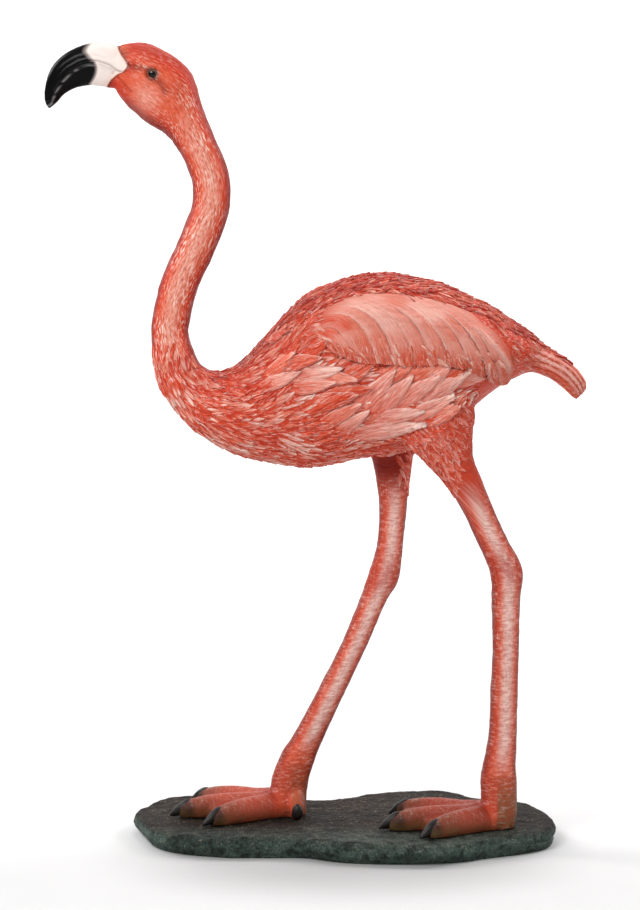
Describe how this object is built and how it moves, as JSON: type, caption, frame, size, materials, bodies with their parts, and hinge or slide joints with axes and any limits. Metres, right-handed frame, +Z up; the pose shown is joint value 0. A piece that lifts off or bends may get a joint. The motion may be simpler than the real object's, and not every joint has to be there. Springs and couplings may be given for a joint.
{
  "type": "flamingo sculpture",
  "caption": "Life-like standing flamingo figure with an S-shaped neck, hooked bill, folded wings and webbed feet, cast in resin and painted, striding on a low rock-like slab.",
  "frame": {"origin": "middle of the slab's flat underside, which stands on the ground", "axes": "+Z up, the bird looks along -X, its left side is towards -Y and its tail points along +X"},
  "size_m": [0.7013, 0.3008, 1.05],
  "materials": {
    "figure_paint": "hand-painted cast resin, satin, pale dry-brushed feather edges over coral red",
    "slab_paint": "hand-painted cast resin, dull dark grey-green rock with pale grit"
  },
  "bodies": {
    "root": {"flamingo": "figure_paint", "base": "slab_paint"}
  },
  "joints": []
}
